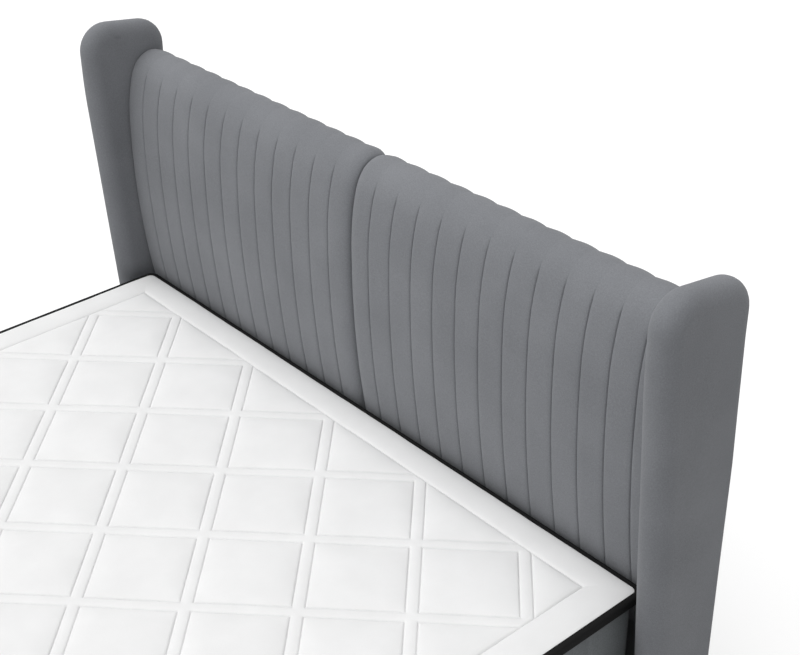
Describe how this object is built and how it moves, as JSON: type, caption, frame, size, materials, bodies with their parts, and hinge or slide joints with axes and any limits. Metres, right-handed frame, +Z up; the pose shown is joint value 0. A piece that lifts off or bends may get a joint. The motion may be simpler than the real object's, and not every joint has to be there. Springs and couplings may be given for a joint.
{
  "type": "wingback bed",
  "caption": "Upholstered wingback bed with channel-tufted headboard pads, rounded wings, a slatted base and a quilted mattress.",
  "frame": {"origin": "on the floor under the middle of the whole bed", "axes": "+X to the right seen from the foot, +Y towards the head end, +Z up"},
  "size_m": [1.712, 2.211, 1.1868],
  "materials": {
    "upholstery": "matte",
    "back_cloth": "matte",
    "webbing": "matte",
    "mattress_side": "matte",
    "mattress_band": "matte",
    "mattress_top": "matte",
    "slat_pine": "matte",
    "frame_timber": "matte",
    "plywood": "matte",
    "leg_wood": "satin",
    "black_plastic": "matte",
    "bracket_steel": "satin",
    "zinc_steel": "satin"
  },
  "bodies": {
    "bed_frame": {"apron_board": "plywood", "apron_padding": "upholstery", "beam_hangers": "bracket_steel", "bracket_bolts": "zinc_steel", "centre_beam": "frame_timber", "corner_blocks": "frame_timber", "corner_brackets": "bracket_steel", "foot_leg_left": "leg_wood", "foot_leg_right": "leg_wood", "footboard_board": "plywood", "footboard_cover": "upholstery", "headboard_back_cover": "back_cloth", "headboard_board_left": "plywood", "headboard_board_right": "plywood", "headboard_bottom_rails": "frame_timber", "headboard_mid_rails": "frame_timber", "headboard_post_centre": "frame_timber", "headboard_post_left": "frame_timber", "headboard_post_right": "frame_timber", "headboard_top_rail": "frame_timber", "leg_glides": "black_plastic", "side_rail_board_left": "plywood", "side_rail_board_right": "plywood", "side_rail_cover_left": "upholstery", "side_rail_cover_right": "upholstery", "slat_01": "slat_pine", "slat_02": "slat_pine", "slat_03": "slat_pine", "slat_04": "slat_pine", "slat_05": "slat_pine", "slat_06": "slat_pine", "slat_07": "slat_pine", "slat_08": "slat_pine", "slat_09": "slat_pine", "slat_10": "slat_pine", "slat_11": "slat_pine", "slat_12": "slat_pine", "slat_ledges": "frame_timber", "slat_tapes": "webbing", "support_leg_1": "frame_timber", "support_leg_2": "frame_timber", "support_leg_3": "frame_timber", "tufted_pad_left": "upholstery", "tufted_pad_right": "upholstery", "wing_battens_left": "frame_timber", "wing_battens_right": "frame_timber", "wing_board_left": "plywood", "wing_board_right": "plywood", "wing_bolts": "zinc_steel", "wing_glides": "black_plastic", "wing_padding_left": "upholstery", "wing_padding_right": "upholstery"},
    "mattress": {"mattress_core": "mattress_side", "mattress_band": "mattress_band", "mattress_top_panel": "mattress_top"},
    "levelling_foot_1": {"levelling_foot_1": "zinc_steel"},
    "levelling_foot_2": {"levelling_foot_2": "zinc_steel"},
    "levelling_foot_3": {"levelling_foot_3": "zinc_steel"}
  },
  "joints": [
    {"name": "mattress_lift", "type": "slide", "parent": "bed_frame", "child": "mattress", "axis": [0, -0.2055, 0.9787], "range_m": [0, 0.3]},
    {"name": "levelling_screw_1", "type": "slide", "parent": "bed_frame", "child": "levelling_foot_1", "axis": [0, 0, -1], "range_m": [0, 0.015]},
    {"name": "levelling_screw_2", "type": "slide", "parent": "bed_frame", "child": "levelling_foot_2", "axis": [0, 0, -1], "range_m": [0, 0.015]},
    {"name": "levelling_screw_3", "type": "slide", "parent": "bed_frame", "child": "levelling_foot_3", "axis": [0, 0, -1], "range_m": [0, 0.015]}
  ]
}
